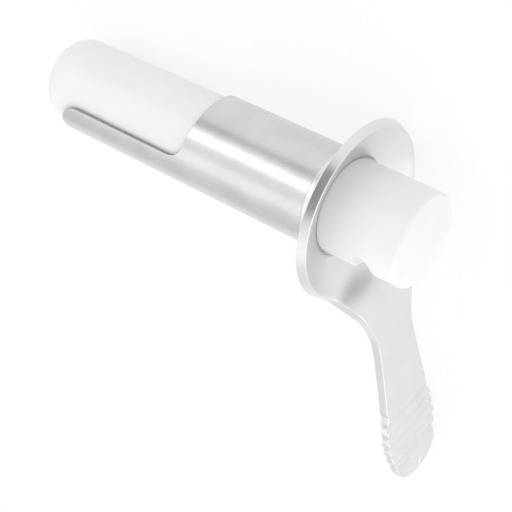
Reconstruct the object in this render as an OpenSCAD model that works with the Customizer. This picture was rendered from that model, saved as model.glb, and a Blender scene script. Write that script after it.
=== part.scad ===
// Slotted tubular speculum: a thin steel tube, cut away to a trough at its far end,
// a dished flange that carries a flat ridged handle, and a turned plug that fills the tube.
//
// The shapes are drawn in the instrument's own frame: X runs along the tube towards the
// hand, Z points away from the handle, and X = 0 is the front of the flange rim.
// rest() then lays the whole part on its side, the way it settles on a table.

/* [Tube] */
// outside diameter of the tube
tube_d = 25; // [18:0.5:34]
// wall of the tube
tube_wall = 1; // [0.7:0.05:1.6]
// distance from the front of the rim back to the tube's far tip
tube_reach = 87; // [60:1:110]
// how far the tube's mouth sits behind the front of the rim
mouth_depth = 4.2; // [3:0.1:7]

/* [Slot] */
// distance from the front of the rim to the closed end of the slot
slot_start = 44.2; // [30:0.5:60]
// height of the slot's long edges above the tube axis
slot_edge_z = 2.8; // [0:0.1:6]
// how far the closed end leans back over its height
slot_lean = 1.7; // [0:0.1:4]
// inner corner radius of the slot
slot_corner = 5; // [2:0.25:8]
// length of the rounding on the tip of the trough
tip_round_x = 6.6; // [3:0.2:10]
// height of the rounding on the tip of the trough
tip_round_z = 7.4; // [3:0.2:10]

/* [Flange] */
// diameter of the flange over its rounded rim
flange_d = 45.2; // [38:0.2:56]
// thickness of the flange and handle plate
plate_t = 2.3; // [1.6:0.1:3]
// rounding on the plate's edges
edge_round = 0.25; // [0.1:0.05:0.5]
// width of the collar that is brazed to the tube
collar_w = 2; // [1:0.1:4]
// how far the rim's front edge lies inside its back edge
rim_draft = 1; // [0.2:0.1:1.6]
// gap that the braze metal fills round the tube
braze_gap = 0.05; // [0.02:0.01:0.1]

/* [Handle] */
// distance from the tube axis to the handle's tip
handle_reach = 88.2; // [70:0.5:110]
// lean of the handle towards the hand
handle_lean = 7.5; // [0:0.5:15]
// how far the handle's plane passes in front of the rim, on the tube axis
handle_step = 4; // [1:0.1:7]
// width of the handle at its neck
neck_w = 14.2; // [10:0.2:20]
// width of the grip at its widest
grip_w = 20; // [15:0.2:26]
// distance from the tube axis to the widest part of the grip
grip_mid = 70.5; // [60:0.5:80]
// length over which the grip swells and narrows
grip_len = 36; // [28:0.5:44]

/* [Grip flutes] */
// number of flutes across the grip
flute_n = 5; // [3:1:7]
// distance between two flutes
flute_pitch = 3.7; // [3:0.1:5]
// distance from the tube axis to the first flute
flute_first = 63.9; // [60:0.1:68]
// depth of the flutes in the front face
flute_depth = 0.5; // [0.2:0.05:0.8]
// how deep the flutes scallop the edges
scallop = 0.45; // [0:0.05:0.8]

/* [Plug] */
// running gap between the plug and the tube's bore
plug_gap = 0.1; // [0.05:0.05:0.5]
// taper of the plug's free part to its nose, on the radius
plug_taper = 0.28; // [0:0.02:0.5]
// how far the straight part of the plug ends behind the front of the rim
plug_straight = 90.1; // [60:0.1:110]
// radius on the edge of the plug's nose
nose_edge_r = 4.5; // [2:0.25:8]
// radius of the shallow dome on the nose
nose_dome_r = 20; // [14:0.5:40]
// diameter of the plug's head
head_d = 23.8; // [20:0.1:34]
// distance from the front of the rim to the end of the head
head_end = 17.7; // [12:0.1:30]
// radius on the end of the head
end_round = 0.6; // [0.2:0.1:2]
// radius on the shoulder of the head
head_round = 1.6; // [0.5:0.1:3]
// width of the notch under the head
notch_w = 4.7; // [3:0.1:7]
// distance from the front of the rim to the middle of the notch
notch_x = 7.5; // [5:0.1:12]
// distance from the axis to the floor of the notch
notch_floor = 0.7; // [0.2:0.05:10]

/* [Hidden] */
tube_r = tube_d / 2;
bore_r = tube_r - tube_wall;
plug_r = bore_r - plug_gap;
nose_r = plug_r - plug_taper;
head_r = head_d / 2;
rim_r = flange_d / 2;
rim_front_r = rim_r - rim_draft;
dish_r = tube_r + braze_gap;
grip_r = grip_w / 2;
neck_r = neck_w / 2;
lean_k = tan(handle_lean);
steel = [0.76, 0.77, 0.79];
plastic = [0.95, 0.95, 0.94];
fine = 96;

// points where the part touches the table: rim, tip of the tube and edge of the grip
grip_z = flute_first + (flute_n - 1.5) * flute_pitch;
grip_y = grip_half(-grip_z);
grip_back = handle_step + lean_k * grip_z - plate_t / cos(handle_lean);
pitch_a = atan((rim_r - tube_r) / (tube_reach - 0.3 - plate_t));
lift = plate_t * sin(pitch_a) + rim_r * cos(pitch_a);
roll_need = (lift + grip_back * sin(pitch_a)) / cos(pitch_a);
roll_a = atan2(grip_z, grip_y) - acos(roll_need / norm([grip_z, grip_y]));
// middle of the footprint, measured once from the finished shape
plan_x = 38.313;
plan_y = 31.846;

// lays the instrument down: roll about the tube, tip the far end down, lift to the table
module rest() {
    translate([plan_x, plan_y, lift])
        rotate([roll_a - 90, -pitch_a, 0])
            children();
}

// points of an arc from angle a0 to a1
function arc(c, r, a0, a1, n = 12) =
    [for (i = [0 : n]) let (a = a0 + (a1 - a0) * i / n) [c[0] + r * cos(a), c[1] + r * sin(a)]];

// points of a quarter ellipse from angle a0 to a1
function oval(c, rx, ry, a0, a1, n = 16) =
    [for (i = [0 : n]) let (a = a0 + (a1 - a0) * i / n) [c[0] + rx * cos(a), c[1] + ry * sin(a)]];

// smooth curve through stations, with n steps between two of them
function spline_at(p0, p1, p2, p3, t) =
    0.5 * ((2 * p1) + (p2 - p0) * t + (2 * p0 - 5 * p1 + 4 * p2 - p3) * t * t
        + (3 * p1 - p0 - 3 * p2 + p3) * t * t * t);
function spline(p, n) = [
    for (i = [0 : len(p) - 2], k = [0 : n - 1])
        spline_at(p[max(i - 1, 0)], p[i], p[i + 1], p[min(i + 2, len(p) - 1)], k / n),
    p[len(p) - 1]
];

// unit normal of a path at point i, to its left
function normal_at(p, i) =
    let (d = p[min(i + 1, len(p) - 1)] - p[max(i - 1, 0)]) [-d[1], d[0]] / norm(d);

// turns a profile drawn as [radius, x] round the tube axis
module revolve(fn = fine) {
    rotate([0, 90, 0]) rotate([0, 0, 180]) rotate_extrude($fn = fn) children();
}

// profile of the slot and of the trough's tip, seen from the side as [x, z]
function slot_profile() =
    let (top = tube_r + 3, fx = -slot_start - slot_lean, far = -tube_reach - 5)
    concat(
        [[far, top], [-slot_start + slot_lean * 0.2, top], [-slot_start, tube_r]],
        [for (q = arc([fx - slot_corner + 0.6, slot_edge_z + slot_corner],
            slot_corner, 0, -90, 14)) q],
        oval([-tube_reach + tip_round_x, slot_edge_z - tip_round_z],
            tip_round_x, tip_round_z, 90, 180, 18),
        [[-tube_reach, -tube_r - 3], [far, -tube_r - 3]]);

module barrel() {
    color(steel) rest() difference() {
        revolve() polygon([
            [bore_r, -mouth_depth], [tube_r, -mouth_depth],
            [tube_r, -tube_reach], [bore_r, -tube_reach]]);
        rotate([90, 0, 0])
            linear_extrude(height = 2 * tube_d, center = true) polygon(slot_profile());
    }
}

// line of the dish's back as [radius, x], from the rim to the end of the collar
dish_mid = (dish_r + rim_front_r) / 2;
dish_foot = -mouth_depth - plate_t - collar_w;
function dish_back() = concat([[rim_r - edge_round, -plate_t]],
    spline([[dish_mid + 2.6, -mouth_depth * 0.26 - plate_t],
        [dish_mid - 1, -mouth_depth * 0.7 - plate_t],
        [dish_r + 1.3, -mouth_depth - plate_t - 0.35], [dish_r + 0.45, dish_foot]], 3));

// section of the dish as [radius, x]: concave face, rounded lip, back and collar
function dish_section() =
    let (d = mouth_depth, mid = dish_mid)
    concat(
        [[dish_r - 1.5, -d]],
        spline([[dish_r, -d], [mid - 1.5, -d * 0.66], [mid + 2.2, -d * 0.26],
            [rim_front_r - edge_round, 0]], 3),
        [[rim_front_r, -edge_round], [rim_r, -plate_t + edge_round]],
        dish_back(),
        [[dish_r - 1.5, dish_foot]]);

// section of the room behind the dish, which the handle's root must leave free
function behind_dish() =
    concat([[2 * rim_r, -plate_t]], dish_back(),
        [[dish_r - 1.5, dish_foot], [dish_r - 1.5, 2 * dish_foot], [2 * rim_r, 2 * dish_foot]]);

// The handle is drawn in its own leaned frame: [along the handle, out of its front face].
// Front line of the bent root, from inside the dish to where the flat part starts.
function root_front() = spline([
    [-12.6, -handle_step - 4.9], [-15, -handle_step - 4.1], [-17.4, -handle_step - 2.4],
    [-19.6, -handle_step * 0.86], [-22.2, -handle_step * 0.26], [-25.4, -0.12],
    [-29, 0]], 3);

// side profile of the whole plate: root, flat part and tip, front line and back line
function plate_section() =
    let (f = root_front(), n = len(f) - 1, tip = -handle_reach - 3)
    concat(f, [[tip, 0], [tip, -plate_t]],
        [for (i = [n : -1 : 0]) f[i] - plate_t * out_dir(f, i)]);
function out_dir(f, i) = i == len(f) - 1 ? [0, 1] : let (q = normal_at(f, i)) q[1] > 0 ? q : -q;

// half width of the root and the neck at stations along the handle, as [z, half width]
root_y = sqrt(rim_r * rim_r - 11.6 * 11.6);
function root_width() = [
    [-8.5, root_y - 1.8], [-11.6, root_y - 0.15], [-14.8, root_y - 1.75],
    [-18, root_y - 3.9], [-21, root_y - 6.1], [-24.2, neck_r + 4], [-27.6, neck_r + 2.1],
    [-31.5, neck_r + 0.85], [-35.5, neck_r + 0.18], [-39, neck_r], [-44, neck_r + 0.3],
    [-51, neck_r + 0.85], [-57.5, neck_r + 1.5], [-flute_first + 0.5 * flute_pitch, grip_r - 0.95]];

// the same for the scalloped grip and for the rounded tip
function grip_half(z) = let (u = (-z - grip_mid) / (grip_len / 2)) grip_r + 0.15 - grip_r / 2 * u * u;
function grip_width() = [
    for (i = [0.5 : 0.25 : flute_n])
        let (z = -flute_first + flute_pitch * (1 - i))
        [z, grip_half(z) - scallop * (0.5 - 0.5 * cos(360 * (i - 0.5)))]];
function tip_width() =
    let (z0 = -flute_first - flute_pitch * (flute_n - 0.5), h = handle_reach + z0)
    [for (a = [8 : 9 : 89]) [z0 - h * sin(a), grip_half(z0) * pow(cos(a), 0.92)], [-handle_reach, 0]];

function handle_outline() =
    let (w = concat(spline(root_width(), 2), grip_width(), tip_width()), n = len(w) - 1)
    concat([for (q = w) [q[1], q[0]]], [for (i = [n - 1 : -1 : 0]) [-w[i][1], w[i][0]]]);

// flat shoulders where the rim's outline flares into the handle's root
root_z = -18.6;
module shoulders() {
    difference() {
        intersection() {
            polygon(handle_outline());
            translate([-flange_d, root_z - 1]) square([2 * flange_d, -root_z * 0.52]);
        }
        circle(r = rim_front_r - edge_round, $fn = fine);
    }
}

module flange_handle() {
    color(steel) rest() difference() {
        union() {
            // dish and the two shoulders beside it, ended where the handle's root takes over
            difference() {
                union() {
                    revolve() polygon(dish_section());
                    rotate([90, 0, 90]) translate([0, 0, -plate_t])
                        linear_extrude(height = plate_t - 0.12) shoulders();
                }
                translate([-plate_t - 0.01, -flange_d, -flange_d + root_z])
                    cube([plate_t + 1, 2 * flange_d, flange_d]);
            }
            // handle: the bent side profile cut to the front outline, inside the rim at its root
            difference() {
                translate([handle_step, 0, 0]) rotate([0, -handle_lean, 0]) intersection() {
                    rotate([90, 0, 0])
                        linear_extrude(height = flange_d + 4, center = true)
                            polygon([for (q = plate_section()) [q[1], q[0]]]);
                    rotate([90, 0, 90])
                        linear_extrude(height = flange_d, center = true) polygon(handle_outline());
                }
                rotate([90, 0, 90]) linear_extrude(height = flange_d, center = true) difference() {
                    translate([-flange_d, root_z + 1]) square([2 * flange_d, flange_d]);
                    circle(r = rim_front_r, $fn = fine);
                }
                revolve() polygon(behind_dish());
            }
        }
        // bore for the tube
        rotate([0, 90, 0]) cylinder(r = dish_r, h = flange_d, center = true, $fn = fine);
        // flutes across the front of the grip
        for (i = [0 : flute_n - 1])
            flute(flute_first + i * flute_pitch);
    }
}

// one flute: a shallow channel across the front face at distance d from the axis
module flute(d) {
    r = (pow(flute_pitch * 0.42, 2) + pow(flute_depth, 2)) / (2 * flute_depth);
    translate([handle_step + lean_k * d, 0, -d])
        rotate([90, -handle_lean, 0])
            translate([r - flute_depth, 0, 0])
                cylinder(r = r, h = 2 * grip_w, center = true, $fn = 64);
}

// section of the plug as [radius, x]: domed nose with a rounded edge, tapered free part,
// straight part in the tube and the head
function plug_section() =
    let (xs = -plug_straight, rc = nose_r - nose_edge_r, reach = nose_dome_r - nose_edge_r,
        open = asin(rc / reach), xd = xs + sqrt(reach * reach - rc * rc))
    concat(
        arc([0, xd], nose_dome_r, -90, -90 + open, 10),
        arc([rc, xs], nose_edge_r, -90 + open, 0, 12),
        [[plug_r, -slot_start - slot_lean], [plug_r, -mouth_depth]],
        arc([head_r - head_round, -mouth_depth + head_round], head_round, -90, 0, 8),
        arc([head_r - end_round, head_end - end_round], end_round, 0, 90, 5),
        [[0, head_end]]);

module obturator() {
    color(plastic) rest() difference() {
        revolve() polygon(plug_section());
        // notch under the head, on the handle's side
        translate([notch_x, 0, -notch_floor - notch_w / 2]) {
            rotate([90, 0, 0]) cylinder(d = notch_w, h = 2 * head_d, center = true, $fn = 48);
            translate([-notch_w / 2, -head_d, -head_d]) cube([notch_w, 2 * head_d, head_d]);
        }
    }
}

barrel();
flange_handle();
obturator();
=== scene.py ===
"""Looks of a slotted tubular speculum: satin steel tube, dished flange with its handle, white plug.

Lengths are written in millimetres in the instrument's own frame: X runs along the tube towards
the hand, Z points away from the handle, and X = 0 is the front of the flange rim. Every piece is
built in that frame and its object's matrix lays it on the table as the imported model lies.
"""

import logging
import math
from dataclasses import dataclass, field
from enum import Enum
from typing import Callable, Sequence

import bmesh
import bpy
import numpy as np
from mathutils import Matrix, Vector
from mathutils.geometry import delaunay_2d_cdt


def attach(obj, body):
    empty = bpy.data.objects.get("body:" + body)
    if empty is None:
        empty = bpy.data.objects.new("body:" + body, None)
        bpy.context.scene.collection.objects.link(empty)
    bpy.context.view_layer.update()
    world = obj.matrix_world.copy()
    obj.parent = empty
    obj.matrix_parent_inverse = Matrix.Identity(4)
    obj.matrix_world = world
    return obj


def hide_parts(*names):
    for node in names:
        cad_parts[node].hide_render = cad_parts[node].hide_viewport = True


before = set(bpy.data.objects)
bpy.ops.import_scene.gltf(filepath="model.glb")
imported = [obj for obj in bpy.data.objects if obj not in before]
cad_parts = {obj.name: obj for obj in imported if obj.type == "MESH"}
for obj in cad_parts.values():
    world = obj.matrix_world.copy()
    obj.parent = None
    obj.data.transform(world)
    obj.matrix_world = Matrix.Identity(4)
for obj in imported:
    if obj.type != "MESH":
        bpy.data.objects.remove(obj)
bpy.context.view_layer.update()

LOG = logging.getLogger("speculum")
MM = 0.001
Points = np.ndarray
Surface = Callable[[Points], Points]


class Body(Enum):
    """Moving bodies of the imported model."""

    SPECULUM = "speculum"
    PLUG = "plug"


class Slot(Enum):
    """Material slots of the record."""

    STEEL = "steel"
    PLUG = "plug"


class Grain(Enum):
    """Direction of the fine polishing lines, as texture frequency along X, Y and Z."""

    ROUND_TUBE = (2600.0, 60.0, 60.0)
    ALONG_HANDLE = (1500.0, 2200.0, 70.0)


# ---------------------------------------------------------------- curves and meshes


def catmull(stations: Sequence[Sequence[float]], steps: int) -> Points:
    """Smooth curve through stations.

    Args:
        stations: points that the curve passes through.
        steps: pieces between two neighbouring stations.

    Returns:
        The curve's points as an array, one row each.
    """
    p = np.array(stations, float)
    rows = []
    for i in range(len(p) - 1):
        a, b, c, d = p[max(i - 1, 0)], p[i], p[i + 1], p[min(i + 2, len(p) - 1)]
        for k in range(steps):
            t = k / steps
            rows.append(0.5 * (2 * b + (c - a) * t + (2 * a - 5 * b + 4 * c - d) * t * t
                               + (3 * b - a - 3 * c + d) * t ** 3))
    rows.append(p[-1])
    return np.array(rows)


def arc(centre: tuple[float, float], radius: tuple[float, float], start: float, end: float,
        steps: int) -> Points:
    """Points of an elliptic arc.

    Args:
        centre: its middle.
        radius: its two half axes.
        start: first angle in degrees.
        end: last angle in degrees.
        steps: number of pieces.

    Returns:
        steps + 1 points.
    """
    a = np.radians(np.linspace(start, end, steps + 1))
    return np.stack([centre[0] + radius[0] * np.cos(a), centre[1] + radius[1] * np.sin(a)], 1)


def even(path: Points, pitch: float) -> Points:
    """The same path with points spaced evenly, about pitch apart."""
    seg = np.hypot(*np.diff(path, axis=0).T)
    s = np.concatenate([[0], np.cumsum(seg)])
    t = np.linspace(0, s[-1], max(2, int(round(s[-1] / pitch)) + 1))
    return np.stack([np.interp(t, s, path[:, 0]), np.interp(t, s, path[:, 1])], 1)


def soft_max(a: Points, b: Points, reach: float) -> Points:
    """The larger of a and b, with the corner between them rounded over reach."""
    h = np.clip(reach - np.abs(a - b), 0, None) / reach
    return np.maximum(a, b) + h * h * reach / 4


def soft_min(a: Points, b: Points, reach: float) -> Points:
    """The smaller of a and b, with the corner between them rounded over reach."""
    return -soft_max(-a, -b, reach)


@dataclass(frozen=True)
class Lie:
    """How the instrument rests on the table: on its rim, the tube's tip and the grip's edge."""

    tube_r: float = 12.5
    rim_r: float = 22.6
    plate: float = 2.3
    reach: float = 87.0
    step: float = 4.0
    lean: float = 7.5
    crest_z: float = 76.85
    crest_y: float = 9.5
    middle: tuple[float, float] = (38.313, 31.846)

    def matrix(self) -> Matrix:
        """Matrix from the instrument's frame to the row frame, both in metres."""
        k = math.tan(math.radians(self.lean))
        back = self.step + k * self.crest_z - self.plate / math.cos(math.radians(self.lean))
        crest_y = self.crest_y
        pitch = math.atan((self.rim_r - self.tube_r) / (self.reach - 0.3 - self.plate))
        lift = self.plate * math.sin(pitch) + self.rim_r * math.cos(pitch)
        need = (lift + back * math.sin(pitch)) / math.cos(pitch)
        roll = math.atan2(self.crest_z, crest_y) - math.acos(need / math.hypot(self.crest_z, crest_y))
        turn = Matrix.Rotation(-pitch, 4, "Y") @ Matrix.Rotation(roll - math.pi / 2, 4, "X")
        place = Vector((self.middle[0], self.middle[1], lift)) * MM
        return Matrix.Translation(place) @ turn


LIE = Lie(crest_y=10.15 - 5 * ((76.85 - 70.5) / 18) ** 2)


def make_piece(name: str, points: Points, faces: Sequence[Sequence[int]], body: Body,
               stands_for: str, material: bpy.types.Material,
               normals: Surface | None = None) -> bpy.types.Object:
    """Makes a smooth mesh piece, lays it on the table and hands it to its body.

    Args:
        name: the piece's name.
        points: corners in millimetres in the instrument's frame.
        faces: corner numbers of each face.
        body: the body that it rides on.
        stands_for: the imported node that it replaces.
        material: its finish.
        normals: exact normals at points in the instrument's frame, nan where it knows none.

    Returns:
        The new object.
    """
    mesh = bpy.data.meshes.new(name)
    mesh.from_pydata((np.asarray(points) * MM).tolist(), [], [list(f) for f in faces])
    mesh.transform(LIE.matrix())
    shell = bmesh.new()
    shell.from_mesh(mesh)
    bmesh.ops.recalc_face_normals(shell, faces=shell.faces)
    shell.to_mesh(mesh)
    shell.free()
    mesh.shade_smooth()
    if normals is not None:
        own = np.array([v.normal for v in mesh.vertices])
        exact = normals(np.asarray(points)) @ np.array(LIE.matrix().to_3x3()).T
        known = ~np.isnan(exact[:, 0])
        own[known] = exact[known]
        mesh.normals_split_custom_set_from_vertices(own.tolist())
    mesh.materials.append(material)
    piece = bpy.data.objects.new(name, mesh)
    bpy.context.scene.collection.objects.link(piece)
    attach(piece, body.value)
    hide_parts(stands_for)
    LOG.info("%s: %d points, %d faces, rides on %s", name, len(points), len(faces), body.value)
    return piece


@dataclass
class Edge:
    """Section of a sheet's edge, from its front face over the side wall to its back face."""

    thick: float
    front_round: float = 0.25
    back_round: float = 0.2
    steps: int = 4

    def rows(self) -> list[tuple[float, float, float]]:
        """(inset without draft, depth, share of the draft) of each ring, front to back."""
        q = np.radians(np.linspace(90, 0, self.steps + 1))
        front = [(self.front_round * (1 - math.cos(a)), self.front_round * (1 - math.sin(a))) for a in q]
        back = [(self.back_round * (1 - math.cos(a)), self.thick - self.back_round * (1 - math.sin(a)))
                for a in q[::-1]]
        flat = (front[-1][1] + 0.05, self.thick * 0.5, back[0][1] - 0.05)
        wall = [(0.0, d) for d in flat]
        return [(i, d, 1 - d / self.thick) for i, d in front + wall + back]


@dataclass
class Sheet:
    """A thin sheet over a flat pattern, with a rounded outer edge and a round hole.

    Attributes:
        rim: outer outline of the pattern.
        out: unit normals of the outline, pointing out of the sheet.
        draft: how much further in the front edge sits than the back edge, at each outline point.
        hole: outline of the hole in the pattern.
        edge: section of the outer edge.
        surface: front face, from pattern to space.
        normal: unit normals of the front face.
        flatten: one-to-one map from the pattern to a plane, for the triangles.
        inner: points of the pattern between the outlines.
        upright: sideways share of the normals that the side wall leaves out, if any.
        relief: depth of what is cut into the front face, if anything.
    """

    rim: Points
    out: Points
    draft: Points
    hole: Points
    edge: Edge
    surface: Surface
    normal: Surface
    flatten: Surface
    inner: Points
    upright: Surface | None = None
    relief: Surface | None = None
    points: list = field(default_factory=list)
    faces: list = field(default_factory=list)

    def place(self, pattern: Points, depth: float) -> Points:
        """Points in space of a pattern at a depth below the front face."""
        below = np.full(len(pattern), depth)
        if self.relief is not None:
            below += self.relief(pattern) * max(0.0, 1 - 2 * depth / self.edge.thick)
        return self.surface(pattern) - below[:, None] * self.normal(pattern)

    def settle(self, base: Points, depth: float) -> Points:
        """Pattern points that a depth carries sideways to base, where the side wall is upright."""
        pattern = base
        if self.upright is not None:
            for _ in range(5):
                pattern = base + depth * self.upright(pattern)
        return pattern

    def add(self, rows: Points) -> np.ndarray:
        """Adds points and returns their numbers."""
        start = len(self.points)
        self.points.extend(rows.tolist())
        return np.arange(start, start + len(rows))

    def loft(self, rings: Sequence[np.ndarray]) -> None:
        """Joins neighbouring closed rings of the same length with quads."""
        for a, b in zip(rings[:-1], rings[1:]):
            a2, b2 = np.roll(a, -1), np.roll(b, -1)
            self.faces.extend(np.stack([a, a2, b2, b], 1).tolist())

    def build(self, bore_rows: Callable[[Points], list[Points]]) -> None:
        """Fills points and faces.

        Args:
            bore_rows: from the hole's outline, the rings in space that line the hole from the
                front face to the back face; its first and last ring bound the two faces.
        """
        rows = self.edge.rows()
        rings = []
        for inset, depth, share in rows:
            base = self.rim - self.out * (inset + share * self.draft)[:, None]
            rings.append(self.add(self.place(self.settle(base, depth), depth)))
        bore = [self.add(r) for r in bore_rows(self.hole)]
        front = self.add(self.place(self.inner, 0.0))
        back = self.add(self.place(self.inner, self.edge.thick))
        first = self.rim - self.out * (rows[0][0] + rows[0][2] * self.draft)[:, None]
        flat = self.flatten(np.concatenate([first, self.hole, self.inner]))
        n, m = len(first), len(self.hole)
        loops = [(i, (i + 1) % n) for i in range(n)] + [(n + i, n + (i + 1) % m) for i in range(m)]
        found = delaunay_2d_cdt([Vector(p) for p in flat], loops, [], 1, 1e-9, True)
        origin = [ids[0] if ids else -1 for ids in found[3]]
        upper = np.concatenate([rings[0], bore[0], front])
        lower = np.concatenate([rings[-1], bore[-1], back])
        triangles = np.array([[origin[v] for v in tri] for tri in found[2]])
        triangles = triangles[triangles.min(axis=1) >= 0]
        inside = within(flat[triangles].mean(axis=1), flat[:n])
        inside &= ~((triangles >= n) & (triangles < n + m)).all(axis=1)
        self.faces.extend(upper[triangles[inside]].tolist())
        self.faces.extend(lower[triangles[inside][:, ::-1]].tolist())
        self.loft(rings[::-1])
        self.loft(bore)


def outward(path: Points) -> Points:
    """Unit normals of a path, on its right hand side."""
    t = np.gradient(path, axis=0)
    t /= np.linalg.norm(t, axis=1)[:, None]
    return np.stack([t[:, 1], -t[:, 0]], 1)


def within(points: Points, polygon: Points) -> np.ndarray:
    """Which points lie inside a closed polygon."""
    x, y = points[:, 0], points[:, 1]
    odd = np.zeros(len(points), bool)
    for (x0, y0), (x1, y1) in zip(polygon, np.roll(polygon, -1, axis=0)):
        if y0 != y1:
            odd ^= ((y0 > y) != (y1 > y)) & (x < (x1 - x0) * (y - y0) / (y1 - y0) + x0)
    return odd


def keep_inside(points: Points, polygon: Points, loops: Sequence[Points], margin: float) -> Points:
    """The points that lie inside a polygon and further than margin from all loops.

    Args:
        points: candidates.
        polygon: closed outline.
        loops: point rows to stay away from.
        margin: least distance.

    Returns:
        The points that are left.
    """
    points = points[within(points, polygon)]
    near = np.full(len(points), np.inf)
    for q in np.concatenate(loops):
        near = np.minimum(near, np.hypot(points[:, 0] - q[0], points[:, 1] - q[1]))
    return points[near > margin]


def lattice(low: tuple[float, float], high: tuple[float, float], pitch: tuple[float, float]) -> Points:
    """Staggered rows of points over a rectangle."""
    rows = []
    for i, y in enumerate(np.arange(low[1], high[1], pitch[1])):
        x = np.arange(low[0] + (i % 2) * pitch[0] / 2, high[0], pitch[0])
        rows.append(np.stack([x, np.full(len(x), y)], 1))
    return np.concatenate(rows)


# ---------------------------------------------------------------- finishes


class Nodes:
    """A material's node tree, with short calls for nodes and links."""

    def __init__(self, name: str) -> None:
        """Makes the material and its Principled shader."""
        self.material = bpy.data.materials.new(name)
        self.material.use_nodes = True
        self.tree = self.material.node_tree
        self.shader = next(n for n in self.tree.nodes if n.type == "BSDF_PRINCIPLED")

    def add(self, kind: str, **values: object) -> bpy.types.Node:
        """Adds a node and sets its sockets (by name, _ for a space) or its properties."""
        node = self.tree.nodes.new(kind)
        for key, value in values.items():
            socket = node.inputs.get(key.replace("_", " "))
            if socket is not None:
                socket.default_value = value
            else:
                setattr(node, key, value)
        return node

    def link(self, source: bpy.types.NodeSocket, target: bpy.types.NodeSocket) -> None:
        """Links two sockets."""
        self.tree.links.new(source, target)

    def place(self) -> bpy.types.NodeSocket:
        """Coordinates in the instrument's own frame, in metres."""
        inverse = LIE.matrix().inverted()
        own = self.add("ShaderNodeTexCoord")
        upright = self.add("ShaderNodeMapping", Rotation=tuple(inverse.to_euler()),
                           Location=tuple(inverse.translation))
        self.link(own.outputs["Object"], upright.inputs["Vector"])
        return upright.outputs["Vector"]

    def between(self, low: float, high: float, fade: float, start_x: float) -> bpy.types.NodeSocket:
        """1 where the distance from the tube's axis lies between low and high, else 0.

        Args:
            low: inner distance in metres.
            high: outer distance in metres.
            fade: width over which the value rises and falls, inside the two.
            start_x: how far behind the rim the value starts, in metres.

        Returns:
            The value's socket.
        """
        across = self.add("ShaderNodeVectorMath", operation="MULTIPLY")
        across.inputs[1].default_value = (0.0, 1.0, 1.0)
        length = self.add("ShaderNodeVectorMath", operation="LENGTH")
        self.link(self.place(), across.inputs[0])
        self.link(across.outputs["Vector"], length.inputs[0])
        ends = []
        for start, end in ((low, low + fade), (high, high - fade)):
            ramp = self.add("ShaderNodeMapRange")
            ramp.inputs["From Min"].default_value = start
            ramp.inputs["From Max"].default_value = end
            self.link(length.outputs["Value"], ramp.inputs["Value"])
            ends.append(ramp.outputs["Result"])
        along = self.add("ShaderNodeSeparateXYZ")
        self.link(self.place(), along.inputs[0])
        far = self.add("ShaderNodeMath", operation="LESS_THAN")
        far.inputs[1].default_value = -start_x
        self.link(along.outputs["X"], far.inputs[0])
        for end in ends:
            both = self.add("ShaderNodeMath", operation="MULTIPLY")
            self.link(far.outputs[0], both.inputs[0])
            self.link(end, both.inputs[1])
            far = both
        return far.outputs[0]

    def noise(self, scale: Sequence[float], detail: float = 2.0, rough: float = 0.5) -> bpy.types.NodeSocket:
        """Noise in the instrument's own frame.

        Args:
            scale: frequency along X, Y and Z, per metre.
            detail: octaves.
            rough: strength of the finer octaves.

        Returns:
            The noise value's socket.
        """
        stretch = self.add("ShaderNodeMapping", Scale=tuple(scale))
        noise = self.add("ShaderNodeTexNoise", Scale=1.0, Detail=detail, Roughness=rough)
        self.link(self.place(), stretch.inputs["Vector"])
        self.link(stretch.outputs["Vector"], noise.inputs["Vector"])
        return noise.outputs["Fac"]

    def spread(self, value: bpy.types.NodeSocket, low: float, high: float) -> bpy.types.NodeSocket:
        """Maps 0.3 to 0.7 of a value to low to high."""
        node = self.add("ShaderNodeMapRange")
        for key, number in (("From Min", 0.3), ("From Max", 0.7), ("To Min", low), ("To Max", high)):
            node.inputs[key].default_value = number
        self.link(value, node.inputs["Value"])
        return node.outputs["Result"]

    def mix(self, factor: bpy.types.NodeSocket, a: Sequence[float], b: Sequence[float]) -> bpy.types.NodeSocket:
        """A colour between a and b."""
        node = self.add("ShaderNodeMix", data_type="RGBA")
        node.inputs[6].default_value, node.inputs[7].default_value = (*a, 1.0), (*b, 1.0)
        self.link(factor, node.inputs[0])
        return node.outputs[2]

    def bump(self, height: bpy.types.NodeSocket, strength: float, distance: float,
             below: bpy.types.NodeSocket | None = None) -> bpy.types.NodeSocket:
        """A bump of a height, over another bump where one is given."""
        node = self.add("ShaderNodeBump", Strength=strength, Distance=distance)
        self.link(height, node.inputs["Height"])
        if below is not None:
            self.link(below, node.inputs["Normal"])
        return node.outputs["Normal"]


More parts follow.
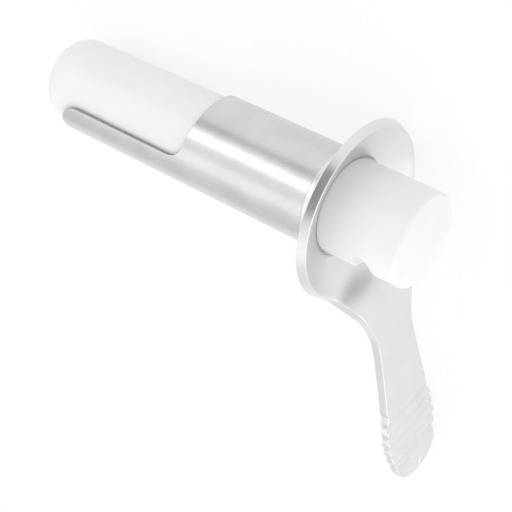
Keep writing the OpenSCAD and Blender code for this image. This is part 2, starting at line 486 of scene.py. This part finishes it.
@dataclass(frozen=True)
class SatinSteel:
    """Polished and softly brushed stainless steel, with an optional band of painted shade on cut faces."""

    name: str
    grain: Grain
    light: tuple[float, float, float] = (0.70, 0.70, 0.705)
    dark: tuple[float, float, float] = (0.62, 0.62, 0.628)
    smooth: float = 0.24
    rough: float = 0.3
    mottle: float = 0.03
    grain_bump: float = 0.03
    # Band of painted shade as (low, high, fade, start_x) for Nodes.between, and the share of the light colour
    # left in it: it darkens cut faces to stand in for the shadow in the gap beside them.
    cut_face_shade: tuple[float, float, float, float] | None = None
    cut_face_shade_share: float = 0.5

    def material(self) -> bpy.types.Material:
        """Builds the node material."""
        n = Nodes(self.name)
        lines = n.noise(self.grain.value, 3.0, 0.6)
        cloud = n.noise((90.0, 90.0, 90.0), 3.0, 0.55)
        n.shader.inputs["Metallic"].default_value = 1.0
        colour = n.mix(n.spread(cloud, 0.0, 1.0), self.dark, self.light)
        # Painted shade: faces between the two radii, beyond start_x, are darkened to a share of the light
        # colour, standing in for the shadowed gap between plug and tube wall.
        if self.cut_face_shade:
            edge = n.add("ShaderNodeMix", data_type="RGBA")
            edge.inputs[7].default_value = (*(self.cut_face_shade_share * c for c in self.light), 1.0)
            n.link(n.between(*self.cut_face_shade), edge.inputs[0])
            n.link(colour, edge.inputs[6])
            colour = edge.outputs[2]
        n.link(colour, n.shader.inputs["Base Color"])
        both = n.add("ShaderNodeMath", operation="ADD")
        n.link(n.spread(lines, self.smooth, self.rough), both.inputs[0])
        n.link(n.spread(cloud, -self.mottle, self.mottle), both.inputs[1])
        n.link(both.outputs[0], n.shader.inputs["Roughness"])
        n.link(n.bump(lines, self.grain_bump, 0.00001), n.shader.inputs["Normal"])
        return n.material


@dataclass(frozen=True)
class MouldedPlastic:
    """Smooth white moulded plastic."""

    name: str
    light: tuple[float, float, float] = (0.905, 0.905, 0.905)
    dark: tuple[float, float, float] = (0.885, 0.885, 0.887)
    roughness: float = 0.42

    def material(self) -> bpy.types.Material:
        """Builds the node material."""
        n = Nodes(self.name)
        cloud = n.noise((120.0, 120.0, 120.0), 3.0, 0.5)
        fine = n.noise((3500.0, 3500.0, 3500.0), 2.0, 0.5)
        n.link(n.mix(n.spread(cloud, 0.0, 1.0), self.dark, self.light), n.shader.inputs["Base Color"])
        n.link(n.spread(cloud, self.roughness - 0.04, self.roughness + 0.04), n.shader.inputs["Roughness"])
        n.shader.inputs["Specular IOR Level"].default_value = 0.4
        n.link(n.bump(fine, 0.05, 0.00002), n.shader.inputs["Normal"])
        return n.material


# ---------------------------------------------------------------- pieces


@dataclass
class Barrel:
    """Thin steel tube, open over its top beyond the slot's end."""

    radius: float = 12.5
    wall: float = 1.0
    mouth: float = 4.2
    reach: float = 87.0
    slot_start: float = 44.2
    slot_edge: float = 2.8
    slot_lean: float = 1.7
    corner: float = 5.0
    tip: tuple[float, float] = (6.6, 7.4)
    pitch: float = 0.9

    def slot_side(self) -> Points:
        """Edge of the slot and of the trough's tip seen from the side, as (distance back, height)."""
        foot = self.slot_start + self.slot_lean + self.corner - 0.6
        crown = [(self.slot_start, self.radius)]
        corner = arc((foot, self.slot_edge + self.corner), (self.corner, self.corner), 180, 270, 24)
        tip = arc((self.reach - self.tip[0], self.slot_edge - self.tip[1]), self.tip, 90, 0, 30)
        return np.concatenate([crown, corner, tip])

    def outline(self) -> Points:
        """Free edge of the tube in its unrolled pattern, as (way round, distance back)."""
        side = self.slot_side()
        side = even(np.concatenate([even(side, 0.25)]), 0.25)
        top = side[0]
        # the end of the slot over the top: from its crown down both sides
        height = np.clip(side[:, 1], -self.radius, self.radius)
        round_way = self.radius * np.arccos(height / self.radius)
        half = np.stack([round_way, side[:, 0]], 1)
        last = half[-1]
        bottom = np.stack([np.linspace(last[0], math.pi * self.radius, 40)[1:],
                           np.full(39, self.reach)], 1)
        half = np.concatenate([half, bottom])
        half[0] = (0.0, top[0])
        half = even(half, 0.45)
        mirror = half[::-1] * (-1, 1)
        return np.concatenate([mirror[:-1], half])[1:]

    def surface(self, pattern: Points) -> Points:
        """Outer face of the tube."""
        a = pattern[:, 0] / self.radius
        return np.stack([-pattern[:, 1], self.radius * np.sin(a), self.radius * np.cos(a)], 1)

    def normal(self, pattern: Points) -> Points:
        """Outward normals of the tube."""
        a = pattern[:, 0] / self.radius
        return np.stack([np.zeros(len(a)), np.sin(a), np.cos(a)], 1)

    def flatten(self, pattern: Points) -> Points:
        """Spreads the tube into a flat ring that keeps its small shapes."""
        a, r = pattern[:, 0] / self.radius, np.exp(pattern[:, 1] / self.radius)
        return np.stack([r * np.sin(a), r * np.cos(a)], 1)

    def exact_normals(self, points: Points) -> Points:
        """Normals of the tube's outer and inner face at points in space, nan elsewhere."""
        r = np.hypot(points[:, 1], points[:, 2])
        side = np.where(np.abs(r - self.radius) < 1e-6, 1.0, np.nan)
        side = np.where(np.abs(r - self.radius + self.wall) < 1e-6, -1.0, side)
        radial = np.stack([np.zeros(len(r)), points[:, 1], points[:, 2]], 1)
        return radial * (side / r)[:, None]

    def mouth_rows(self, hole: Points) -> list[Points]:
        """Rings over the mouth, from the outer face down a slope like the dish's to the inner face."""
        section = [(0.0, 0.0), (0.05, 0.02), (0.5, 0.23), (0.8, 0.37), (0.9, 0.43), (0.97, 0.5),
                   (1.0, 0.6)]
        return [self.surface(hole + (0, back)) - share * self.wall * self.normal(hole)
                for share, back in section]

    def build(self, finish: SatinSteel) -> bpy.types.Object:
        """Makes the tube."""
        rim = self.outline()
        wide = math.pi * self.radius
        turns = round(2 * wide / self.pitch)
        ways = -wide + np.arange(turns) * 2 * wide / turns
        hole = np.stack([ways, np.full(turns, self.mouth)], 1)
        polygon = np.concatenate([[(-wide, self.reach)], rim, [(wide, self.mouth), (-wide, self.mouth)]])
        rows = np.arange(self.mouth + 0.9, self.reach, self.pitch)
        grid = np.stack(np.meshgrid(ways + 1e-6, rows), -1).reshape(-1, 2)
        inner = keep_inside(grid, polygon, [rim], 0.5)
        closed = np.concatenate([rim[-1:] - (2 * wide, 0), rim, rim[:1] + (2 * wide, 0)])
        out = -outward(closed)[1:-1]
        sheet = Sheet(rim, out, np.zeros(len(rim)), hole, Edge(self.wall), self.surface, self.normal,
                      self.flatten, inner)
        sheet.build(self.mouth_rows)
        return make_piece("steel_tube", np.array(sheet.points), sheet.faces, Body.SPECULUM,
                          "barrel", finish.material(), self.exact_normals)


@dataclass
class FlangeHandle:
    """Dished flange and bent handle, pressed from one plate, with a collar round the tube."""

    tube_r: float = 12.5
    rim_r: float = 22.6
    lip_draft: float = 1.0
    plate: float = 2.3
    depth: float = 4.2
    step: float = 4.0
    lean: float = 7.5
    reach: float = 87.35
    grip_r: float = 10.15
    bend: tuple[tuple[float, float], ...] = (
        (-8.0, -7.5), (-11.0, -5.6), (-13.65, -3.5), (-15.93, -2.3), (-18.09, 0.2), (-19.88, 3.2),
        (-22.15, 5.87), (-25.2, 7.2), (-28.75, 7.785))
    sides: tuple[tuple[float, float], ...] = (
        (-19.4, 13.05), (-22.3, 11.4), (-26.5, 9.65), (-30.5, 8.25), (-34.0, 7.4), (-38.0, 7.1),
        (-43.0, 7.35), (-50.0, 7.9), (-55.5, 8.35), (-59.0, 8.75))
    flutes: tuple[float, ...] = (63.9, 67.6, 71.3, 75.0, 78.7)
    flute_deep: float = 0.72
    flute_half: tuple[float, float] = (1.1, 0.45)
    flute_worn: float = 0.62
    scallop: float = 0.42
    tip: tuple[tuple[float, float], ...] = (
        (8.5, -81.0), (8.1, -82.7), (7.25, -84.35), (5.85, -85.75), (4.0, -86.75), (1.9, -87.25))
    marks: tuple[tuple[float, float, float, float], ...] = (
        (-8.2, -80.3, -4.6, -80.7), (-4.6, -80.7, -2.2, -80.9), (0.4, -83.0, 0.9, -84.6),
        (0.9, -84.6, 0.3, -86.0))
    mark_deep: float = 0.27
    mark_half: float = 0.36
    hole_r: float = 13.7
    blend: float = 3.2

    def dish(self, r: Points) -> Points:
        """Height of the dish's front face at a distance from the axis."""
        line = catmull([(self.tube_r - 2, -self.depth - 0.95), (self.tube_r, -self.depth), (15.6, -2.77),
                        (19.3, -1.09), (21.7, -0.02), (24.0, 0.55), (30.0, 0.9)], 8)
        return np.interp(r, line[:, 0], line[:, 1])

    def plane(self, z: Points) -> Points:
        """Height of the handle's front plane."""
        return self.step - math.tan(math.radians(self.lean)) * z

    def height(self, pattern: Points) -> Points:
        """Height of the front face over the pattern (y, z)."""
        y, z = pattern[:, 0], pattern[:, 1]
        line = catmull(self.bend, 10)[::-1]
        root = np.where(z < self.bend[-1][0], self.plane(z), np.interp(z, line[:, 0], line[:, 1]))
        root = np.where(z > self.bend[0][0], -20.0, root)
        x = soft_max(self.dish(np.hypot(y, z)), root, self.blend)
        return np.where(z < self.bend[-1][0], self.plane(z), x)

    def relief(self, pattern: Points) -> Points:
        """Depth of the flutes and of the short marks at the tip."""
        y, z = pattern[:, 0], pattern[:, 1]
        deep = np.zeros(len(y))
        for i, d in enumerate(self.flutes):
            worn = self.flute_worn * np.exp(-(y / 5.2) ** 4) * (0.45 if i == 0 else 1.0)
            wide, crease = (np.exp(-((z + d) / half) ** 2) for half in self.flute_half)
            deep += self.flute_deep * (1 - worn) * (0.55 * wide + 0.45 * crease)
        near = np.full(len(y), 9.0)
        for y0, z0, y1, z1 in self.marks:
            along = np.array((y1 - y0, z1 - z0))
            t = np.clip(((y - y0) * along[0] + (z - z0) * along[1]) / (along @ along), 0, 1)
            near = np.minimum(near, np.hypot(y - y0 - t * along[0], z - z0 - t * along[1]))
        return deep + self.mark_deep * np.exp(-(near / self.mark_half) ** 2)

    def surface(self, pattern: Points) -> Points:
        """Front face over the pattern."""
        return np.stack([self.height(pattern), pattern[:, 0], pattern[:, 1]], 1)

    def normal(self, pattern: Points) -> Points:
        """Unit normals of the front face."""
        e = 0.15
        dy = (self.height(pattern + (e, 0)) - self.height(pattern - (e, 0))) / (2 * e)
        dz = (self.height(pattern + (0, e)) - self.height(pattern - (0, e))) / (2 * e)
        n = np.stack([np.ones(len(dy)), -dy, -dz], 1)
        return n / np.linalg.norm(n, axis=1)[:, None]

    def upright(self, pattern: Points) -> Points:
        """Sideways share of the normals over the dish, fading out down the handle's root."""
        share = np.clip((pattern[:, 1] + 24.0) / 8.0, 0, 1)
        return self.normal(pattern)[:, 1:] * share[:, None]

    def grip_half(self, z: Points) -> Points:
        """Half width of the grip, scalloped by the flutes."""
        u = (-z - 70.5) / 18
        first, pitch = self.flutes[0], self.flutes[1] - self.flutes[0]
        wave = 0.5 + 0.5 * np.cos(2 * math.pi * (-z - first) / pitch)
        on = np.clip((-z - first + pitch * 0.5) / 0.8, 0, 1)
        return self.grip_r - 5 * u * u - self.scallop * wave * on

    def outline(self) -> tuple[Points, Points]:
        """Outline of flange and handle over (y, z), and the draft of its edge."""
        a = np.radians(np.linspace(0, 137, 90))
        ring = np.stack([self.rim_r * np.sin(a), self.rim_r * np.cos(a)], 1)
        knee = [ring[-6], ring[-1]]
        sides = [(w, z) for z, w in self.sides]
        z = np.linspace(-59.6, -80.5, 110)
        grip = np.stack([self.grip_half(z), z], 1)
        flare = catmull([*knee, *sides, grip[0], grip[6]], 10)[10:-10]
        tip = catmull([grip[-3], *self.tip, (0.0, -self.reach)], 8)[8:]
        half = even(np.concatenate([ring, flare[1:], grip[1:], tip]), 0.4)
        path = np.concatenate([half, (half[::-1] * (-1, 1))[1:-1]])
        draft = self.lip_draft * np.clip((path[:, 1] + 30) / 12, 0.12, 1)
        return path, draft

    def collar_rows(self, hole: Points) -> list[Points]:
        """Rings from the dish through the bore and over the collar to the back face."""
        a = np.arctan2(hole[:, 1], hole[:, 0])
        rings = [self.surface(hole)]
        inner = self.tube_r + 0.03
        bore = [(13.2, None), (12.8, None), (inner, None), (inner, -6.0), (inner, -8.9),
                (12.72, -8.72), (12.95, -8.5), (13.02, -8.1), (13.12, -7.5), (13.45, -6.85),
                (13.9, -6.4), (14.3, -6.15)]
        for r, x in bore:
            flat = np.stack([r * np.cos(a), r * np.sin(a)], 1)
            h = self.height(flat) if x is None else np.full(len(a), x)
            rings.append(np.stack([h, flat[:, 0], flat[:, 1]], 1))
        rings.append(self.surface(hole) - self.plate * self.normal(hole))
        return rings

    def build(self, finish: SatinSteel) -> bpy.types.Object:
        """Makes flange and handle."""
        rim, draft = self.outline()
        closed = np.concatenate([rim[-1:], rim, rim[:1]])
        out = -outward(closed)[1:-1]
        a = np.radians(np.arange(0, 360, 2.0))
        hole = self.hole_r * np.stack([np.cos(a), np.sin(a)], 1)
        wide = lattice((-self.rim_r, -59.0), (self.rim_r, self.rim_r), (0.62, 0.54))
        fine = lattice((-self.grip_r, -self.reach), (self.grip_r, -58.8), (0.3, 0.16))
        grid = np.concatenate([wide, fine])
        grid = grid[np.hypot(grid[:, 0], grid[:, 1]) > self.hole_r + 0.35]
        first = rim - out * (draft + 0.3)[:, None]
        inner = keep_inside(grid, first, [first], 0.25)
        sheet = Sheet(rim, out, draft, hole, Edge(self.plate, 0.3, 0.12), self.surface, self.normal,
                      lambda p: p, inner, self.upright, self.relief)
        sheet.build(self.collar_rows)
        return make_piece("flange_and_handle", np.array(sheet.points), sheet.faces, Body.SPECULUM,
                          "flange_handle", finish.material())


@dataclass
class Plug:
    """Turned white plug: blunt nose, straight shaft and a head with a notch on the handle's side."""

    bore_r: float = 11.5
    gap: float = 0.1
    taper: float = 0.28
    straight: float = 90.1
    seat_end: float = 45.9
    nose_edge: float = 4.5
    nose_dome: float = 20.0
    mouth: float = 4.2
    head_r: float = 11.9
    head_end: float = 17.7
    head_round: float = 0.06
    end_round: float = 1.0
    end_dome: float = 100.0
    notch_w: float = 4.7
    notch_x: float = 7.5
    notch_floor: float = 0.7
    notch_lip: float = 0.3
    notch_lean: float = 2.6
    columns: int = 256

    def nose(self) -> Points:
        """Domed nose with its rounded edge, from the tip outwards."""
        shaft = self.bore_r - self.gap
        side = shaft - self.taper - self.nose_edge
        reach = self.nose_dome - self.nose_edge
        spread = math.degrees(math.asin(side / reach))
        middle = -self.straight + math.sqrt(reach ** 2 - side ** 2)
        dome = arc((middle, 0.0), (self.nose_dome,) * 2, 180, 180 - spread, 24)
        edge = arc((-self.straight, side), (self.nose_edge,) * 2, 180 - spread, 90, 24)
        return np.concatenate([dome, edge[1:]])

    def profile(self) -> Points:
        """Half section of the plug as (x, radius), from its nose to the end of its head."""
        shaft = self.bore_r - self.gap
        free = np.linspace((-self.straight, shaft - self.taper), (-self.seat_end, shaft), 30)
        back = -self.mouth - 0.26
        seat = np.linspace((-self.seat_end, shaft), (back, shaft), 30)
        r = self.head_round
        neck = arc((back + r, self.head_r - r), (r, r), 180, 90, 6)
        crown = self.head_face()
        body = np.stack([self.head_rows(neck[-1, 0], crown[0, 0])] * 2, 1)
        body[:, 1] = self.head_r
        return np.concatenate([self.nose(), free[1:], seat[1:], neck, body[1:], crown[1:]])

    def head_face(self) -> Points:
        """Slightly domed end of the head with its rounded edge, from the edge inwards."""
        side = self.head_r - self.end_round
        reach = self.end_dome - self.end_round
        spread = math.degrees(math.asin(side / reach))
        middle = self.head_end - self.end_dome
        centre = (middle + math.sqrt(reach ** 2 - side ** 2), side)
        edge = arc(centre, (self.end_round,) * 2, 90, spread, 10)
        dome = arc((middle, 0.0), (self.end_dome,) * 2, spread, 0, 14)
        return np.concatenate([edge, dome[1:]])

    def head_rows(self, start: float, end: float) -> np.ndarray:
        """Places along the head, close together at the notch's two walls."""
        half = self.notch_w / 2
        bend = half * np.sin(np.radians(np.linspace(-90, 90, 25)))
        lip = np.array([0.02, 0.05, 0.09, 0.14, 0.2, 0.28, 0.4]) * self.notch_lip / 0.4
        ramp = -half - np.linspace(0, self.notch_lean, 36)
        places = np.concatenate([bend, half + lip, ramp]) + self.notch_x
        return np.unique(np.concatenate([np.linspace(start, end, 40), places]).round(4))

    def notch(self, x: Points, y: Points, z: Points) -> Points:
        """Height of points after the notch, which is cut upwards from the handle's side.

        Args:
            x: places along the plug.
            y: places across it.
            z: heights before the cut.

        Returns:
            The heights, raised to the notch's floor where it is cut.
        """
        half = self.notch_w / 2
        u = np.clip(np.abs(x - self.notch_x) / half, 0, 1)
        floor = -self.notch_floor - half + half * np.sqrt(1 - u * u)
        ramp = (self.notch_x - half - x) / self.notch_lean
        drop = self.head_r - self.notch_floor - half
        floor = np.where(ramp > 0, -self.notch_floor - half - drop * ramp, floor)
        past = np.clip((x - self.notch_x - half) / self.notch_lip, 0, 1)
        edge = -np.sqrt(np.clip(self.head_r ** 2 - y * y, 0, None))
        floor = np.where(past > 0, edge + self.notch_lip * (1 - np.sqrt(1 - (1 - past) ** 2)), floor)
        return np.where((past < 1) & (ramp < 1), np.maximum(z, floor), z)

    def build(self, finish: MouldedPlastic) -> bpy.types.Object:
        """Makes the plug."""
        rows = self.profile()
        a = 2 * math.pi * np.arange(self.columns) / self.columns
        points, faces = [], []
        for x, r in rows[1:-1]:
            y, z = r * np.sin(a), -r * np.cos(a)
            if r > self.head_r - 0.01:
                z = self.notch(np.full(len(a), x), y, z)
            points.append(np.stack([np.full(len(a), x), y, z], 1))
        grid = np.concatenate(points)
        n, m = self.columns, len(points)
        for i in range(m - 1):
            for j in range(n):
                k = (j + 1) % n
                faces.append((i * n + j, i * n + k, (i + 1) * n + k, (i + 1) * n + j))
        ends = np.array([(rows[0][0], 0, 0), (rows[-1][0], 0, 0)])
        faces += [(m * n, (j + 1) % n, j) for j in range(n)]
        last = (m - 1) * n
        faces += [(m * n + 1, last + j, last + (j + 1) % n) for j in range(n)]
        return make_piece("white_plug", np.concatenate([grid, ends]), faces, Body.PLUG,
                          "obturator", finish.material())


# ---------------------------------------------------------------- studio


@dataclass(frozen=True)
class Camera:
    """The photograph's viewpoint, in the instrument's frame."""

    place: tuple[float, float, float] = (142.23, -186.83, 225.95)
    right: tuple[float, float, float] = (0.777457, 0.623378, -0.083426)
    down: tuple[float, float, float] = (0.400679, -0.593165, -0.698292)
    ahead: tuple[float, float, float] = (-0.484785, 0.509465, -0.710935)
    lens: float = 98.52

    def build(self) -> bpy.types.Object:
        """Makes the camera and sets it as the scene's."""
        data = bpy.data.cameras.new("camera")
        data.lens, data.sensor_width = self.lens, 36.0
        data.clip_start, data.clip_end = 0.01, 20.0
        camera = bpy.data.objects.new("camera", data)
        bpy.context.scene.collection.objects.link(camera)
        axes = (Vector(self.right), -Vector(self.down), -Vector(self.ahead))
        own = Matrix([[axes[c][r] for c in range(3)] for r in range(3)]).to_4x4()
        own.translation = Vector(self.place) * MM
        camera.matrix_world = LIE.matrix() @ own
        bpy.context.scene.camera = camera
        return camera


@dataclass(frozen=True)
class Panel:
    """A soft light or a reflection card that faces the object.

    Attributes:
        name: its object's name.
        along: share of its direction that lies along the tube, negative behind the flange.
        turn: its direction round the tube, in degrees from +Y.
        distance: metres from the object.
        size: metres along the tube and across.
        strength: radiance, where 1 is white.
    """

    name: str
    along: float
    turn: float
    distance: float
    size: tuple[float, float]
    strength: float

    def matrix(self) -> Matrix:
        """Place and turn of the panel, facing the object."""
        a, side = math.radians(self.turn), math.sqrt(1 - self.along ** 2)
        lie = LIE.matrix().to_3x3()
        z = lie @ Vector((self.along, side * math.cos(a), side * math.sin(a)))
        x = lie @ Vector((1.0, 0.0, 0.0))
        x = (x - z * x.dot(z)).normalized()
        turn = Matrix((x, z.cross(x), z)).transposed().to_4x4()
        return Matrix.Translation(z * self.distance + Vector((0, 0, 0.02))) @ turn

    def lamp(self) -> None:
        """Adds the panel as an area light of that radiance, which reflections don't show."""
        data = bpy.data.lights.new(self.name, "AREA")
        data.shape, (data.size, data.size_y) = "RECTANGLE", self.size
        data.energy = self.strength * math.pi * self.size[0] * self.size[1]
        lamp = bpy.data.objects.new(self.name, data)
        bpy.context.scene.collection.objects.link(lamp)
        lamp.matrix_world = self.matrix()
        lamp.visible_glossy = False

    def card(self) -> None:
        """Adds the panel as a card that only reflections see."""
        n = Nodes(self.name)
        glow = n.add("ShaderNodeEmission", Strength=self.strength)
        out = next(x for x in n.tree.nodes if x.type == "OUTPUT_MATERIAL")
        n.link(glow.outputs[0], out.inputs["Surface"])
        w, h = self.size[0] / 2, self.size[1] / 2
        mesh = bpy.data.meshes.new(self.name)
        mesh.from_pydata([(-w, -h, 0), (w, -h, 0), (w, h, 0), (-w, h, 0)], [], [(0, 1, 2, 3)])
        mesh.materials.append(n.material)
        card = bpy.data.objects.new(self.name, mesh)
        bpy.context.scene.collection.objects.link(card)
        card.matrix_world = self.matrix()
        card.visible_camera = card.visible_diffuse = card.visible_shadow = False
        card.visible_transmission = False


@dataclass
class Studio:
    """Pale table, white surround and soft light."""

    table_size: float = 6.0
    glow: float = 0.74
    surround: float = 0.8
    lamps: tuple[Panel, ...] = (
        Panel("key_light", -0.35, 140.0, 1.1, (0.9, 0.9), 0.6),
        Panel("ceiling_light", 0.3, 185.0, 1.2, (1.0, 1.0), 0.5),
        Panel("front_light", 0.93, 230.0, 1.2, (1.0, 1.0), 0.6),
        Panel("hand_light", 0.3, 250.0, 1.2, (1.0, 1.0), 1.5),
    )
    cards: tuple[Panel, ...] = (
        Panel("strip_card", -0.496, 130.0, 1.0, (1.4, 0.30), 2.0),
        Panel("overhead_card", -0.496, 184.0, 1.0, (1.4, 0.46), 1.3),
        Panel("gap_card", -0.496, 101.0, 1.0, (1.4, 0.22), 0.6),
        Panel("back_card", -0.496, 236.0, 1.0, (1.4, 0.6), 0.85),
        Panel("front_card", 0.93, 240.0, 1.0, (0.8, 0.8), 1.65),
        Panel("rim_card", 0.18, 200.0, 0.85, (0.4, 0.4), 1.3),
        Panel("dark_card", 0.33, 128.0, 0.85, (0.36, 0.95), 0.0),
    )

    def seen(self, n: Nodes | object, tree: bpy.types.NodeTree) -> bpy.types.NodeSocket:
        """1 for rays from the camera, from gloss and through glass, else 0."""
        path = tree.nodes.new("ShaderNodeLightPath")
        one = tree.nodes.new("ShaderNodeMath")
        two = tree.nodes.new("ShaderNodeMath")
        for node in (one, two):
            node.operation, node.use_clamp = "ADD", True
        tree.links.new(path.outputs["Is Camera Ray"], one.inputs[0])
        tree.links.new(path.outputs["Is Glossy Ray"], one.inputs[1])
        tree.links.new(one.outputs[0], two.inputs[0])
        tree.links.new(path.outputs["Is Transmission Ray"], two.inputs[1])
        return two.outputs[0]

    def world(self) -> None:
        """White background over a plain, softer surround light."""
        world = bpy.data.worlds.new("surround")
        bpy.context.scene.world = world
        world.use_nodes = True
        tree = world.node_tree
        light = next(x for x in tree.nodes if x.type == "BACKGROUND")
        light.inputs["Color"].default_value = (1, 1, 1, 1)
        light.inputs["Strength"].default_value = self.surround
        white = tree.nodes.new("ShaderNodeBackground")
        white.inputs["Color"].default_value = (1, 1, 1, 1)
        white.inputs["Strength"].default_value = 1.0
        mix = tree.nodes.new("ShaderNodeMixShader")
        out = next(x for x in tree.nodes if x.type == "OUTPUT_WORLD")
        tree.links.new(self.seen(None, tree), mix.inputs[0])
        tree.links.new(light.outputs[0], mix.inputs[1])
        tree.links.new(white.outputs[0], mix.inputs[2])
        tree.links.new(mix.outputs[0], out.inputs["Surface"])

    def table(self) -> bpy.types.Object:
        """Plain pale floor, part of whose white is its own, so that it keeps a soft shadow."""
        n = Nodes("pale_table")
        n.shader.inputs["Base Color"].default_value = (0.95, 0.95, 0.95, 1)
        n.shader.inputs["Roughness"].default_value = 0.8
        n.shader.inputs["Specular IOR Level"].default_value = 0.0
        white = n.add("ShaderNodeEmission", Strength=1.03)
        mix = n.add("ShaderNodeMixShader")
        share = n.add("ShaderNodeMath", operation="MULTIPLY")
        share.inputs[1].default_value = self.glow
        out = next(x for x in n.tree.nodes if x.type == "OUTPUT_MATERIAL")
        n.link(self.seen(n, n.tree), share.inputs[0])
        n.link(share.outputs[0], mix.inputs[0])
        n.link(n.shader.outputs[0], mix.inputs[1])
        n.link(white.outputs[0], mix.inputs[2])
        n.link(mix.outputs[0], out.inputs["Surface"])
        s = self.table_size / 2
        mesh = bpy.data.meshes.new("table")
        mesh.from_pydata([(-s, -s, 0), (s, -s, 0), (s, s, 0), (-s, s, 0)], [], [(0, 1, 2, 3)])
        mesh.materials.append(n.material)
        floor = bpy.data.objects.new("table", mesh)
        bpy.context.scene.collection.objects.link(floor)
        return floor

    def build(self) -> None:
        """Makes table, surround, lamps and cards."""
        self.world()
        self.table()
        for panel in self.lamps:
            panel.lamp()
        for panel in self.cards:
            panel.card()
        LOG.info("studio: %d lamps, %d cards", len(self.lamps), len(self.cards))


def main() -> None:
    """Builds the scene in order."""
    logging.basicConfig(level=logging.INFO, format="%(name)s: %(message)s")
    bpy.context.scene.view_settings.view_transform = "Standard"
    Camera().build()
    # The tube's steel paints shade on its slot's cut faces, between radius 11.5 and 12.5 mm from 43.5 mm back,
    # for the shadowed gap beside the plug.
    Barrel().build(SatinSteel("tube_steel", Grain.ROUND_TUBE, smooth=0.262, rough=0.276,
                              mottle=0.012, grain_bump=0.004, cut_face_shade=(0.0115, 0.0125, 0.0001, 0.0435)))
    FlangeHandle().build(SatinSteel("plate_steel", Grain.ALONG_HANDLE, (0.80, 0.80, 0.805),
                                    (0.76, 0.76, 0.765), 0.30, 0.34, 0.02, 0.015))
    Plug().build(MouldedPlastic("plug_white"))
    Studio().build()


if __name__ == "__main__":
    main()
